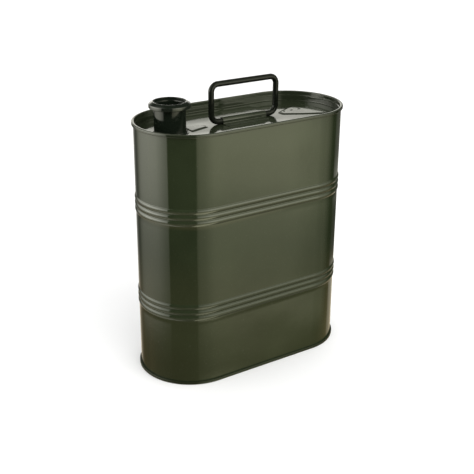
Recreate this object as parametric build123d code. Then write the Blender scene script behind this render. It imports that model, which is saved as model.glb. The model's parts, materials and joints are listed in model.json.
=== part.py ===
from build123d import *
import os
from math import pi, tan

# Five litre oil can of pressed steel sheet: an obround body with two groups of raised beads,
# a sunk top end with a folding wire bail, and a spout neck near the left end.
# Millimetres, +Z up, X along the can, origin on the floor at the centre of the footprint.

# ---- overall sizes -----------------------------------------------------------------------
HEIGHT = 260.0            # from the bottom rim to the top rim
BODY_LENGTH = 225.0       # outside of the body sheet, along X
BODY_WIDTH = 105.0        # outside of the body sheet, along Y
SHEET = 0.55              # steel sheet of the body and both ends
LAYER_GAP = 0.04          # paint and lacquer between the folded layers of a seam

END_RADIUS = BODY_WIDTH / 2
STRAIGHT = BODY_LENGTH - BODY_WIDTH
END_X = STRAIGHT / 2      # centre of each half-round end

# ---- raised beads round the body -----------------------------------------------------------
BEAD_GROUPS = (80.1, 179.2)   # height of the middle bead of each group
BEAD_PITCH = 5.9
BEAD_WIDTH = 5.4
BEAD_PROUD = 0.9

# ---- double seams --------------------------------------------------------------------------
SEAM_HEIGHT = 3.2
SEAM_FOLD_RADIUS = 1.0        # outside radius over the top of the rim
END_HOOK_TOP = -2 * SHEET - 2 * LAYER_GAP    # the end hook stops just below the body hook's fold
BODY_HOOK_END = 2.1           # depth of the body hook's lower edge below the rim

# Wall positions across a seam, measured outwards from the outside of the body sheet.
CHUCK_OUT = -SHEET - LAYER_GAP
CHUCK_IN = CHUCK_OUT - SHEET
END_HOOK_IN = LAYER_GAP
END_HOOK_OUT = END_HOOK_IN + SHEET
BODY_HOOK_IN = END_HOOK_OUT + LAYER_GAP
BODY_HOOK_OUT = BODY_HOOK_IN + SHEET
SEAM_WALL_IN = BODY_HOOK_OUT + LAYER_GAP
SEAM_WALL_OUT = SEAM_WALL_IN + SHEET

# ---- top and bottom ends ---------------------------------------------------------------------
TOP_RECESS = 10.0             # rim to deck
BOTTOM_RECESS = 6.0           # rim to bottom panel
PANEL_RADIUS = 0.8            # inside radius where an end's wall meets its panel
WALL_BAND = 8.0               # how far in from the body the swept edge of an end reaches
LEDGE_DEPTH = 3.9             # from the rim down to the small sloping ledge in the top end's wall
LEDGE_STEP = 0.7              # width and height of that ledge
DECK_Z = HEIGHT - TOP_RECESS

# ---- embossing of the deck and the bottom panel --------------------------------------------------
EMBOSS_HEIGHT = 0.8
EMBOSS_SLOPE = 45.0           # side slope of a raised panel, degrees
RIGHT_FAN_START = 49.0        # from the middle of the can to the narrow end of the raised fan
RIGHT_FAN_LENGTH = 44.0
RIGHT_FAN_HALF_START = 4.0
RIGHT_FAN_HALF_END = 27.0
LEFT_FAN_START = 40.0
LEFT_FAN_LENGTH = 21.5
LEFT_FAN_HALF_START = 3.4
LEFT_FAN_HALF_END = 9.8
FAN_CORNER = 2.0
DIMPLE_RADIUS = 1.5
DIMPLE_DEPTH = 0.35
DIMPLE_ROW = 4
DIMPLE_START = (56.0, 3.5)
DIMPLE_PITCH = 9.5
BOTTOM_PANEL_INSET = 16.0     # from the body to the raised bottom panel
BOTTOM_EMBOSS = 1.2

# ---- neck, collar and pour insert ---------------------------------------------------------------
NECK_X = -79.9
NECK_RADIUS = 15.25
NECK_WALL = 0.7
NECK_FLANGE_RADIUS = 20.0
NECK_HOLE_RADIUS = NECK_RADIUS + 0.05
NECK_TOP = 279.5
MOUTH_TOP = 280.5
COLLAR_RADIUS = 19.9
COLLAR_HEIGHT = 5.9
COLLAR_TOP_RADIUS = 16.4
LIP_DROP = 2.3                # height of the sloping shoulder below the mouth
COLLAR_EDGE = 1.2             # rounding of the collar's shoulder
COLLAR_FOOT_EDGE = 0.5        # rounding of its lower edge
LIP_OUTER_EDGE = 0.8
LIP_INNER_EDGE = 0.5
SOLDER_WIDTH = 2.6
SOLDER_HEIGHT = 2.4
SOLDER_HOLLOW = 0.3           # how near the fillet's middle comes to its corner, as a share of its size
INSERT_RADIUS = NECK_RADIUS - NECK_WALL - LAYER_GAP
MOUTH_RADIUS = 12.5
INSERT_TOP = 278.3
INSERT_LENGTH = 17.0
INSERT_EDGE = 0.48 * (INSERT_RADIUS - MOUTH_RADIUS)   # a nearly full round over the top

# ---- handle ---------------------------------------------------------------------------------------
WIRE_RADIUS = 2.9
HANDLE_X = 3.9                # centre of the bail along the can
BAIL_SPAN = 76.1              # between the centres of the legs
BAIL_TOP_Z = 289.9            # centre of the grip bar
BAIL_TOP_BEND = 7.3
BAIL_FOOT_BEND = 8.0
FOOT_GAP = 16.0               # between the inner ends of the two feet
PIVOT_CLEARANCE = 0.08
PIVOT_Z = DECK_Z + WIRE_RADIUS + PIVOT_CLEARANCE

SADDLE_X = 3.1                # centre of the saddle, a little off the bail's centre
SADDLE_LENGTH = 50.8
SADDLE_WIDTH = 23.0
SADDLE_SHEET = 0.7
SADDLE_CORNER = 3.0
CHANNEL_RADIUS = WIRE_RADIUS + PIVOT_CLEARANCE
WELD_RADIUS = 1.7
WELD_CROWN = 0.25
WELD_X = 19.0
WELD_Y = 8.0

# ---- side seam -------------------------------------------------------------------------------------
WELD_STRIP_WIDTH = 2.4
WELD_STRIP_PROUD = 0.3
WELD_STRIP_MARGIN = 0.3       # clear of the double seams


# ---- helpers ------------------------------------------------------------------------------------------
def strip(inner, outer, low, high):
    """Rectangle in the XZ plane, given by its four sides."""
    return Plane.XZ * Pos((inner + outer) / 2, (low + high) / 2) * Rectangle(outer - inner, high - low)


def corner(section, x, z, radius):
    """Round the corner of a section in the XZ plane that lies nearest to x, z."""
    nearest = section.vertices().sort_by_distance((x, 0, z))[0]
    return fillet(nearest, radius)


def around(section):
    """Carry a section round the obround outline: two straight runs and two half turns.

    The section's X is measured outwards from the line between the end centres.
    """
    facing_front = Rot(0, 0, -90) * section
    front = extrude(Pos(-END_X, 0, 0) * facing_front, amount=STRAIGHT, dir=(1, 0, 0))
    right = revolve(Pos(END_X, 0, 0) * facing_front, Axis((END_X, 0, 0), (0, 0, 1)), 180)
    half = front + right
    return half + Rot(0, 0, 180) * half


def obround(inset):
    """The body's outline, moved inwards."""
    return SlotCenterToCenter(STRAIGHT, BODY_WIDTH - 2 * inset)


def ring_at_neck(section):
    """Turn a section in the XZ plane about the neck's axis."""
    return revolve(section, Axis((NECK_X, 0, 0), (0, 0, 1)), 360)


# ---- body ------------------------------------------------------------------------------------------------
def bead_arc(radius, height):
    """One raised bead: a single round crest between two plain creases."""
    low = (radius, 0, height - BEAD_WIDTH / 2)
    crest = (radius + BEAD_PROUD, 0, height)
    high = (radius, 0, height + BEAD_WIDTH / 2)
    return ThreePointArc(low, crest, high)


def beaded_line(radius, low, high):
    """The upright line of a sheet surface with its beads, from low to high."""
    edges = []
    z = low
    for group in BEAD_GROUPS:
        for step in (-1, 0, 1):
            height = group + step * BEAD_PITCH
            edges.append(Line((radius, 0, z), (radius, 0, height - BEAD_WIDTH / 2)))
            edges.append(bead_arc(radius, height))
            z = height + BEAD_WIDTH / 2
    edges.append(Line((radius, 0, z), (radius, 0, high)))
    return edges


def beaded_section(outer_radius, thickness, low, high):
    """A sheet's section between two beaded lines, closed at both ends."""
    inner_radius = outer_radius - thickness
    edges = beaded_line(outer_radius, low, high) + beaded_line(inner_radius, low, high)
    edges.append(Line((inner_radius, 0, low), (outer_radius, 0, low)))
    edges.append(Line((inner_radius, 0, high), (outer_radius, 0, high)))
    return make_face(Wire(edges))


def body_hook():
    """The body sheet's folded edge inside a seam, with the rim at z = 0 and the can below it."""
    top = -SHEET - LAYER_GAP
    land = strip(END_RADIUS - SHEET, END_RADIUS + BODY_HOOK_OUT, top - SHEET, top)
    wall = strip(END_RADIUS - SHEET, END_RADIUS, -SEAM_HEIGHT, top)
    hook = strip(END_RADIUS + BODY_HOOK_IN, END_RADIUS + BODY_HOOK_OUT, -BODY_HOOK_END, top)
    section = land + wall + hook
    section = corner(section, END_RADIUS - SHEET, top, SEAM_FOLD_RADIUS - SHEET)
    section = corner(section, END_RADIUS + BODY_HOOK_OUT, top, SEAM_FOLD_RADIUS - SHEET)
    return around(section)


def make_body_shell():
    wall = around(beaded_section(END_RADIUS, SHEET, SEAM_HEIGHT, HEIGHT - SEAM_HEIGHT))
    return wall + Pos(0, 0, HEIGHT) * body_hook() + Rot(180, 0, 0) * body_hook()


def make_side_seam_weld():
    """The raised bead of the welded side seam, up the middle of the back."""
    low = SEAM_HEIGHT + WELD_STRIP_MARGIN
    high = HEIGHT - SEAM_HEIGHT - WELD_STRIP_MARGIN
    section = beaded_section(END_RADIUS + WELD_STRIP_PROUD, WELD_STRIP_PROUD, low, high)
    facing_back = Pos(-WELD_STRIP_WIDTH / 2, 0, 0) * Rot(0, 0, 90) * section
    return extrude(facing_back, amount=WELD_STRIP_WIDTH, dir=(1, 0, 0))


# ---- ends ---------------------------------------------------------------------------------------------------
def plain_wall(recess):
    """Upright wall of a pressed end, with the rim at z = 0."""
    return strip(END_RADIUS + CHUCK_IN, END_RADIUS + CHUCK_OUT, -recess - SHEET, 0)


def ledged_wall(recess):
    """Wall of a pressed end that steps inwards over a small ledge sloping at 45 degrees."""
    inner = END_RADIUS + CHUCK_IN
    outer = END_RADIUS + CHUCK_OUT
    kink = LEDGE_DEPTH + SHEET * tan(pi / 8)     # keeps the sheet's thickness over the ledge
    points = [
        (inner, 0, 0),
        (inner, 0, -LEDGE_DEPTH),
        (inner - LEDGE_STEP, 0, -LEDGE_DEPTH - LEDGE_STEP),
        (inner - LEDGE_STEP, 0, -recess - SHEET),
        (outer - LEDGE_STEP, 0, -recess - SHEET),
        (outer - LEDGE_STEP, 0, -kink - LEDGE_STEP),
        (outer, 0, -kink),
        (outer, 0, 0),
    ]
    return make_face(Polyline(*points, close=True))


def end_shell(recess, wall, step):
    """A pressed end with its double seam: rim at z = 0, panel below it at z = -recess.

    The step is how far the foot of the wall stands inwards of its top.
    """
    r = END_RADIUS
    rim = strip(r + CHUCK_IN, r + SEAM_WALL_OUT, -SHEET, 0)
    outer_wall = strip(r + SEAM_WALL_IN, r + SEAM_WALL_OUT, -SEAM_HEIGHT, 0)
    lower_fold = strip(r + END_HOOK_IN, r + SEAM_WALL_OUT, -SEAM_HEIGHT, -SEAM_HEIGHT + SHEET)
    end_hook = strip(r + END_HOOK_IN, r + END_HOOK_OUT, -SEAM_HEIGHT, END_HOOK_TOP)
    panel_edge = strip(r - WALL_BAND, r + CHUCK_OUT - step, -recess - SHEET, -recess)
    section = wall + rim + outer_wall + lower_fold + end_hook + panel_edge
    inside_fold = SEAM_FOLD_RADIUS - SHEET
    section = corner(section, r + CHUCK_IN, 0, SEAM_FOLD_RADIUS)
    section = corner(section, r + CHUCK_OUT, -SHEET, inside_fold)
    section = corner(section, r + SEAM_WALL_OUT, 0, SEAM_FOLD_RADIUS)
    section = corner(section, r + SEAM_WALL_IN, -SHEET, inside_fold)
    section = corner(section, r + SEAM_WALL_OUT, -SEAM_HEIGHT, SHEET)
    section = corner(section, r + CHUCK_IN - step, -recess, PANEL_RADIUS)
    section = corner(section, r + CHUCK_OUT - step, -recess - SHEET, PANEL_RADIUS + SHEET)
    panel = extrude(obround(WALL_BAND), amount=SHEET)
    return around(section) + Pos(0, 0, -recess - SHEET) * panel


def raised_panel(outline, height):
    """A raised area with sloping sides, standing on z = 0."""
    return extrude(outline, amount=height, taper=EMBOSS_SLOPE)


def press_up(shell, outline, height, surface_z):
    """Press an area of a sheet upwards: metal above the surface, a hollow below it."""
    raised = Pos(0, 0, surface_z) * raised_panel(outline, height)
    hollow = Pos(0, 0, surface_z - SHEET) * raised_panel(offset(outline, -SHEET / 2), height)
    return shell + raised - hollow


def fan(start, length, half_start, half_end):
    """Outline of a raised fan that widens along +X."""
    end = start + length
    points = [(start, -half_start), (end, -half_end), (end, half_end), (start, half_start)]
    outline = make_face(Polyline(*points, close=True))
    return fillet(outline.vertices(), FAN_CORNER)


def make_top_end():
    shell = Pos(0, 0, HEIGHT) * end_shell(TOP_RECESS, ledged_wall(TOP_RECESS), LEDGE_STEP)
    right = fan(RIGHT_FAN_START, RIGHT_FAN_LENGTH, RIGHT_FAN_HALF_START, RIGHT_FAN_HALF_END)
    left = fan(LEFT_FAN_START, LEFT_FAN_LENGTH, LEFT_FAN_HALF_START, LEFT_FAN_HALF_END)
    for outline in (right, Rot(0, 0, 180) * left):
        shell = press_up(shell, outline, EMBOSS_HEIGHT, DECK_Z)
    for step in range(DIMPLE_ROW):
        x = DIMPLE_START[0] + step * DIMPLE_PITCH
        ball_radius = (DIMPLE_RADIUS ** 2 + DIMPLE_DEPTH ** 2) / (2 * DIMPLE_DEPTH)
        ball_z = DECK_Z + EMBOSS_HEIGHT - DIMPLE_DEPTH + ball_radius
        shell -= Pos(x, DIMPLE_START[1], ball_z) * Sphere(ball_radius)
    neck_hole = Pos(NECK_X, 0, DECK_Z) * Cylinder(NECK_HOLE_RADIUS, TOP_RECESS)
    return shell - neck_hole


def make_bottom_end():
    shell = Rot(180, 0, 0) * end_shell(BOTTOM_RECESS, plain_wall(BOTTOM_RECESS), 0)
    return press_up(shell, obround(BOTTOM_PANEL_INSET), BOTTOM_EMBOSS, BOTTOM_RECESS + SHEET)


def seam_compound():
    """Sealing compound in the space below the body hook, with the rim at z = 0."""
    low = -SEAM_HEIGHT + SHEET
    section = strip(END_RADIUS + BODY_HOOK_IN, END_RADIUS + BODY_HOOK_OUT, low, -BODY_HOOK_END)
    return around(section)


# ---- neck ---------------------------------------------------------------------------------------------------
def make_neck_tube():
    """Drawn neck with a flange that bears against the underside of the deck."""
    flange_top = DECK_Z - SHEET - LAYER_GAP
    x = NECK_X
    wall = strip(x + NECK_RADIUS - NECK_WALL, x + NECK_RADIUS, flange_top - NECK_WALL, NECK_TOP)
    flange = strip(x + NECK_RADIUS - NECK_WALL, x + NECK_FLANGE_RADIUS, flange_top - NECK_WALL, flange_top)
    section = corner(wall + flange, x + NECK_RADIUS - NECK_WALL, flange_top - NECK_WALL, NECK_WALL)
    return ring_at_neck(section)


def make_neck_solder_ring():
    """Solder fillet between the neck and the deck."""
    x = NECK_X + NECK_RADIUS
    edges = [
        Line((x, 0, DECK_Z), (x + SOLDER_WIDTH, 0, DECK_Z)),
        ThreePointArc(
            (x + SOLDER_WIDTH, 0, DECK_Z),
            (x + SOLDER_HOLLOW * SOLDER_WIDTH, 0, DECK_Z + SOLDER_HOLLOW * SOLDER_HEIGHT),
            (x, 0, DECK_Z + SOLDER_HEIGHT),
        ),
        Line((x, 0, DECK_Z + SOLDER_HEIGHT), (x, 0, DECK_Z)),
    ]
    return ring_at_neck(make_face(Wire(edges)))


def make_mouth_collar():
    """Turned ring round the mouth, with a sloping shoulder and rounded edges."""
    inner = NECK_X + NECK_RADIUS + LAYER_GAP
    outer = NECK_X + COLLAR_RADIUS
    low = MOUTH_TOP - COLLAR_HEIGHT
    points = [
        (inner, 0, low),
        (outer, 0, low),
        (outer, 0, MOUTH_TOP - LIP_DROP),
        (NECK_X + COLLAR_TOP_RADIUS, 0, MOUTH_TOP),
        (inner, 0, MOUTH_TOP),
    ]
    section = make_face(Polyline(*points, close=True))
    section = corner(section, outer, low, COLLAR_FOOT_EDGE)
    section = corner(section, outer, MOUTH_TOP - LIP_DROP, COLLAR_EDGE)
    section = corner(section, NECK_X + COLLAR_TOP_RADIUS, MOUTH_TOP, LIP_OUTER_EDGE)
    section = corner(section, inner, MOUTH_TOP, LIP_INNER_EDGE)
    return ring_at_neck(section)


def make_pour_insert():
    """Pressed ring inside the mouth, rounded over at its top, that narrows it for pouring."""
    inner = NECK_X + MOUTH_RADIUS
    outer = NECK_X + INSERT_RADIUS
    section = strip(inner, outer, INSERT_TOP - INSERT_LENGTH, INSERT_TOP)
    section = corner(section, inner, INSERT_TOP, INSERT_EDGE)
    section = corner(section, outer, INSERT_TOP, INSERT_EDGE)
    return ring_at_neck(section)


# ---- handle --------------------------------------------------------------------------------------------------
def bail_path():
    """Centre line of the wire, from one foot over the grip bar to the other foot."""
    left = HANDLE_X - BAIL_SPAN / 2
    right = HANDLE_X + BAIL_SPAN / 2
    points = [
        (HANDLE_X - FOOT_GAP / 2, 0, PIVOT_Z),
        (left, 0, PIVOT_Z),
        (left, 0, BAIL_TOP_Z),
        (right, 0, BAIL_TOP_Z),
        (right, 0, PIVOT_Z),
        (HANDLE_X + FOOT_GAP / 2, 0, PIVOT_Z),
    ]
    bends = [BAIL_FOOT_BEND, BAIL_TOP_BEND, BAIL_TOP_BEND, BAIL_FOOT_BEND]
    return FilletPolyline(*points, radius=bends)


def make_handle_bail():
    path = bail_path()
    return sweep(Plane(path @ 0, z_dir=path % 0) * Circle(WIRE_RADIUS), path=path)


def weld_places():
    """Centres of the four spot welds on the saddle's flanges."""
    return [(SADDLE_X + i * WELD_X, j * WELD_Y) for i in (-1, 1) for j in (-1, 1)]


def make_handle_saddle():
    """Pressed strip with a half-round channel that holds both feet of the bail."""
    outer_radius = CHANNEL_RADIUS + SADDLE_SHEET
    flange = Pos(0, SADDLE_SHEET / 2) * Rectangle(SADDLE_WIDTH, SADDLE_SHEET)
    shoulder = Pos(0, (PIVOT_Z - DECK_Z) / 2) * Rectangle(2 * outer_radius, PIVOT_Z - DECK_Z)
    arch = Pos(0, PIVOT_Z - DECK_Z) * Circle(outer_radius)
    above_deck = Pos(0, outer_radius) * Rectangle(SADDLE_WIDTH, 2 * outer_radius)
    metal = flange + shoulder + (arch & above_deck)
    bore = Pos(0, PIVOT_Z - DECK_Z) * Circle(CHANNEL_RADIUS)
    foot_space = Rectangle(2 * CHANNEL_RADIUS, 2 * (PIVOT_Z - DECK_Z))
    profile = metal - bore - foot_space
    start = Plane((SADDLE_X - SADDLE_LENGTH / 2, 0, DECK_Z), x_dir=(0, 1, 0), z_dir=(1, 0, 0))
    saddle = extrude(start * profile, amount=SADDLE_LENGTH)
    upright = saddle.edges().filter_by(Axis.Z)
    corners = upright.filter_by(lambda edge: abs(edge.center().Y) > SADDLE_WIDTH / 2 - SHEET)
    saddle = fillet(corners, SADDLE_CORNER)
    for x, y in weld_places():
        saddle -= Pos(x, y, DECK_Z) * Cylinder(WELD_RADIUS, 4 * SADDLE_SHEET)
    return saddle


def make_saddle_spot_welds():
    """Four separate buttons that fix the saddle's flanges to the deck."""
    button = Cylinder(WELD_RADIUS, SADDLE_SHEET, align=(Align.CENTER, Align.CENTER, Align.MIN))
    crown_radius = (WELD_RADIUS ** 2 + WELD_CROWN ** 2) / (2 * WELD_CROWN)
    crown = Pos(0, 0, SADDLE_SHEET + WELD_CROWN - crown_radius) * Sphere(crown_radius)
    column = Cylinder(WELD_RADIUS, 2 * SADDLE_SHEET, align=(Align.CENTER, Align.CENTER, Align.MIN))
    button += crown & column
    return Compound([Pos(x, y, DECK_Z) * button for x, y in weld_places()])


# ---- write every node ----------------------------------------------------------------------------------------
NODES = {
    "body_shell": make_body_shell(),
    "side_seam_weld": make_side_seam_weld(),
    "top_end": make_top_end(),
    "bottom_end": make_bottom_end(),
    "top_seam_compound": Pos(0, 0, HEIGHT) * seam_compound(),
    "bottom_seam_compound": Rot(180, 0, 0) * seam_compound(),
    "neck_tube": make_neck_tube(),
    "neck_solder_ring": make_neck_solder_ring(),
    "mouth_collar": make_mouth_collar(),
    "pour_insert": make_pour_insert(),
    "handle_bail": make_handle_bail(),
    "handle_saddle": make_handle_saddle(),
    "saddle_spot_welds": make_saddle_spot_welds(),
}

os.makedirs("parts", exist_ok=True)
for name, shape in NODES.items():
    export_step(shape, "parts/" + name + ".step")
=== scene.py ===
import json
import math

import bmesh
import bpy
from mathutils import Matrix, Vector, noise


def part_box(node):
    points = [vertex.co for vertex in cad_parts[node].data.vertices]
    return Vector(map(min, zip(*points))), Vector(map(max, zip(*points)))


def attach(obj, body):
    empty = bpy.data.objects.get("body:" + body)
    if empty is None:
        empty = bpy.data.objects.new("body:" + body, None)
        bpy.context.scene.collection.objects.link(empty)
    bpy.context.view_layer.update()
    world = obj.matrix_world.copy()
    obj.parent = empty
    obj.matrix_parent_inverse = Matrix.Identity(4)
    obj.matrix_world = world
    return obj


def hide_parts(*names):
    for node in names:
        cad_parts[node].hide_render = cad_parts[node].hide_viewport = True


# Looks of a five litre sheet-steel oil can. Lengths below are in millimetres unless a comment says metres.
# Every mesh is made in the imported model's frame: metres, +Z up, X along the can, origin under its middle.

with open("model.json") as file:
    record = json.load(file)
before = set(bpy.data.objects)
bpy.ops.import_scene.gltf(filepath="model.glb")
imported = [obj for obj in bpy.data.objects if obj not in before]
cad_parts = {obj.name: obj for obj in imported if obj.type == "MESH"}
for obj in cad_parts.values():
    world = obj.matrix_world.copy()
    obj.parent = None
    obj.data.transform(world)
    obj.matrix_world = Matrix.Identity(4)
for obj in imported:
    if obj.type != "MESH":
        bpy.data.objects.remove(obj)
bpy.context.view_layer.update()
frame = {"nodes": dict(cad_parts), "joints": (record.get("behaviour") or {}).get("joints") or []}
MM = 0.001

# ---- sizes taken from the frame --------------------------------------------------------
# Low and high corner of each CAD node's box.
top_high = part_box("top_end")[1] / MM
collar_low, collar_high = (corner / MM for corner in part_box("mouth_collar"))
insert_low, insert_high = (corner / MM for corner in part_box("pour_insert"))
ring_low, ring_high = (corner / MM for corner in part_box("neck_solder_ring"))
tube_low, tube_high = (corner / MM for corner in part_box("neck_tube"))
bail_low, bail_high = (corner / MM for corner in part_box("handle_bail"))
saddle_low, saddle_high = (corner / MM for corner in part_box("handle_saddle"))
button_low, button_high = (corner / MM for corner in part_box("saddle_spot_welds"))
weld_low, weld_high = (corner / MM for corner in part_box("side_seam_weld"))
PIVOT = Vector(frame["joints"][0]["pos_m"]) / MM

HEIGHT = top_high.z                       # rim to rim
SEAM_PROUD = 1.77                         # rolled seam outside the body sheet
END_RADIUS = top_high.y - SEAM_PROUD      # outside of the body sheet
END_X = top_high.x - top_high.y           # centre of each half-round end
SHEET = 0.55
LAYER_GAP = 0.04
DECK_Z = saddle_low.z                     # upper face of the sunk top
BASE_PANEL_Z = 6.0                        # height of the sunk panel under the can

BEAD_GROUPS = (80.1, 179.2)               # height of the middle bead of each group of three
BEAD_PITCH = 5.9
BEAD_WIDTH = 5.4
BEAD_PROUD = 0.9
BEAD_HEIGHTS = [group + step * BEAD_PITCH for group in BEAD_GROUPS for step in (-1, 0, 1)]
BEAD_MARGIN = 0.2                         # from a bead's side to the last point of the straight sheet
BEAD_CREASE = 0.12                        # width of the tight crease beside a bead
BEAD_STEPS = 8                            # facets of half a bead
WALL_STEP = 5.0                           # usual height of a facet of the straight sheet
BODY_WAVE = 0.16                          # slow unevenness of the drawn sheet
BODY_RIPPLE = 0.035                       # and the finer unevenness on top of it

SEAM_HEIGHT = 3.2
SEAM_OVERLAP = 1.6                        # how far the body sheet runs into each seam
SEAM_FOOT_RADIUS = 0.55
SEAM_HOOK = 2.2                           # how far the end's hook runs back up inside the seam
FOLD_RADIUS = 1.0
PANEL_RADIUS = 0.8                        # bend between an end's wall and its sunk panel
RING_STEP = 1.0                           # widest facet of a sunk panel
LEDGE_DEPTH = 3.9                         # rim down to the small sloping ledge in the top's wall
LEDGE_STEP = 0.7
LEDGE_KINK = 0.18
LEDGE_TOP = -2.4                          # last section point above the ledge, from the rim
CHUCK_IN = -2 * SHEET - LAYER_GAP         # inner face of the end's upright wall, from the body's outside

NECK_X = (collar_low.x + collar_high.x) / 2
NECK_RADIUS = 15.25
NECK_WALL = 0.7
COLLAR_RADIUS = (collar_high.x - collar_low.x) / 2
LIP_RADIUS = 16.4
MOUTH_RADIUS = 12.5

WIRE_RADIUS = (bail_high.y - bail_low.y) / 2
HANDLE_X = (bail_low.x + bail_high.x) / 2


# ---- mesh helpers ----------------------------------------------------------------------
def make_object(name, points, faces, wear=None):
    """A smooth mesh object from points in millimetres, with an optional edge-wear value for each point."""
    mesh = bpy.data.meshes.new(name)
    mesh.from_pydata([Vector(p) * MM for p in points], [], faces)
    if wear is not None:
        layer = mesh.attributes.new("wear", "FLOAT", "POINT")
        layer.data.foreach_set("value", wear)
    piece = bpy.data.objects.new(name, mesh)
    bpy.context.scene.collection.objects.link(piece)
    tidy_mesh(piece)
    return piece


def tidy_mesh(piece):
    """Merges doubled points, drops faces without area, points the normals outwards and shades smooth."""
    work = bmesh.new()
    work.from_mesh(piece.data)
    bmesh.ops.remove_doubles(work, verts=work.verts, dist=2e-6)
    bmesh.ops.dissolve_degenerate(work, edges=work.edges, dist=1e-7)
    bmesh.ops.recalc_face_normals(work, faces=work.faces)
    work.to_mesh(piece.data)
    work.free()
    piece.data.polygons.foreach_set("use_smooth", [True] * len(piece.data.polygons))


def sharpen(piece, degrees):
    """Keeps edges sharper than this angle crisp."""
    piece.data.set_sharp_from_angle(angle=math.radians(degrees))


def apply_modifiers(piece):
    """Turns a piece's modifiers into its mesh."""
    graph = bpy.context.evaluated_depsgraph_get()
    solid = bpy.data.meshes.new_from_object(piece.evaluated_get(graph))
    piece.modifiers.clear()
    piece.data = solid


def cut(piece, tool, operation):
    """Boolean of a piece with a tool object, which is then removed."""
    modifier = piece.modifiers.new("cut", "BOOLEAN")
    modifier.operation = operation
    modifier.solver = "EXACT"
    modifier.object = tool
    apply_modifiers(piece)
    bpy.data.objects.remove(tool)


def bevel(piece, width, segments=2, degrees=35):
    """Rounds the sharp edges of a piece."""
    modifier = piece.modifiers.new("bevel", "BEVEL")
    modifier.width = width * MM
    modifier.segments = segments
    modifier.limit_method = "ANGLE"
    modifier.angle_limit = math.radians(degrees)
    apply_modifiers(piece)
    piece.data.polygons.foreach_set("use_smooth", [True] * len(piece.data.polygons))
    sharpen(piece, degrees)


def arc(centre_x, centre_z, radius, start, end, steps):
    """Points of an arc in a section, angles in degrees from +X towards +Z."""
    turn = [math.radians(start + (end - start) * i / steps) for i in range(steps + 1)]
    return [(centre_x + radius * math.cos(a), centre_z + radius * math.sin(a)) for a in turn]


def run(start, end, steps):
    """Evenly spaced points of a straight run in a section, without its last point."""
    return [tuple(s + (e - s) * i / steps for s, e in zip(start, end)) for i in range(steps)]


def ring_faces(bands, rows, count):
    """Faces of that many bands between rows of points, each row a closed ring of count points."""
    faces = []
    for i in range(bands):
        here = i * count
        there = (i + 1) % rows * count
        for k in range(count):
            m = (k + 1) % count
            faces.append((here + k, here + m, there + m, there + k))
    return faces


def cap_faces(rows, count):
    """The two faces that close a tube of rows of count points."""
    return [tuple(range(count)), tuple(range((rows - 1) * count, rows * count))]


def smooth(low, high, value):
    """Smooth step from 0 at low to 1 at high."""
    t = max(0.0, min(1.0, (value - low) / (high - low)))
    return t * t * (3 - 2 * t)


# ---- the obround outline ---------------------------------------------------------------
ARC_STEPS = 88
RUN_STEPS = 96


def outline():
    """Spine point and outward direction at each station round the can."""
    stations = []
    for side in (1, -1):
        for i in range(RUN_STEPS):
            stations.append((side * (-END_X + 2 * END_X * i / RUN_STEPS), 0.0, 0.0, -side))
        for i in range(ARC_STEPS):
            a = math.pi * (i / ARC_STEPS - 0.5)
            stations.append((side * END_X, 0.0, side * math.cos(a), side * math.sin(a)))
    return stations


OUTLINE = outline()


def sweep_round(name, section, shape=None, closed=True, wear=None):
    """Carries a section of (radius, height) points round the outline.

    shape, when given, moves each 3-D point; it is handed the point and the outward direction there.
    """
    points = []
    for radius, z in section:
        for sx, sy, nx, ny in OUTLINE:
            point = Vector((sx + nx * radius, sy + ny * radius, z))
            points.append(shape(point, Vector((nx, ny, 0))) if shape else point)
    rows = len(section)
    faces = ring_faces(rows if closed else rows - 1, rows, len(OUTLINE))
    values = [wear(p) for p in points] if wear else None
    return make_object(name, points, faces, values)


def spin(name, centre_x, section, steps=128, wear=None):
    """Turns a closed section of (radius, height) points about the upright line through centre_x."""
    points = []
    for radius, z in section:
        for k in range(steps):
            a = 2 * math.pi * k / steps
            points.append(Vector((centre_x + radius * math.cos(a), radius * math.sin(a), z)))
    faces = ring_faces(len(section), len(section), steps)
    values = [wear(section[i // steps]) for i in range(len(points))] if wear else None
    return make_object(name, points, faces, values)


# ---- materials -------------------------------------------------------------------------
def node(tree, kind, **settings):
    """A shader node with its properties set."""
    made = tree.nodes.new(kind)
    for key, value in settings.items():
        setattr(made, key, value)
    return made


def set_inputs(shader_node, **values):
    """Sets a node's own sockets; underscores in a name stand for spaces."""
    for key, value in values.items():
        shader_node.inputs[key.replace("_", " ")].default_value = value


def noise_at(tree, coordinates, scale, detail=3.0, roughness=0.5):
    """A noise texture; scale is in cells for each metre."""
    made = node(tree, "ShaderNodeTexNoise")
    set_inputs(made, Scale=scale, Detail=detail, Roughness=roughness)
    tree.links.new(coordinates, made.inputs["Vector"])
    return made.outputs["Fac"]


def remap(tree, value, low, high, to_low, to_high):
    """Carries low ... high over to to_low ... to_high, clamped."""
    made = node(tree, "ShaderNodeMapRange")
    set_inputs(made, From_Min=low, From_Max=high, To_Min=to_low, To_Max=to_high)
    tree.links.new(value, made.inputs["Value"])
    return made.outputs["Result"]


def math_of(tree, operation, first, second):
    """A maths node of two values, each given as a number or as a socket."""
    made = node(tree, "ShaderNodeMath", operation=operation)
    for socket, value in zip(made.inputs, (first, second)):
        if isinstance(value, (int, float)):
            socket.default_value = value
        else:
            tree.links.new(value, socket)
    return made.outputs[0]


def mix_colours(tree, amount, first, second):
    """Mixes two colours, each given as a colour or as a socket."""
    made = node(tree, "ShaderNodeMix", data_type="RGBA")
    tree.links.new(amount, made.inputs["Factor"])
    for socket, value in ((made.inputs[6], first), (made.inputs[7], second)):
        if isinstance(value, tuple):
            socket.default_value = (*value, 1.0)
        else:
            tree.links.new(value, socket)
    return made.outputs[2]


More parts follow.
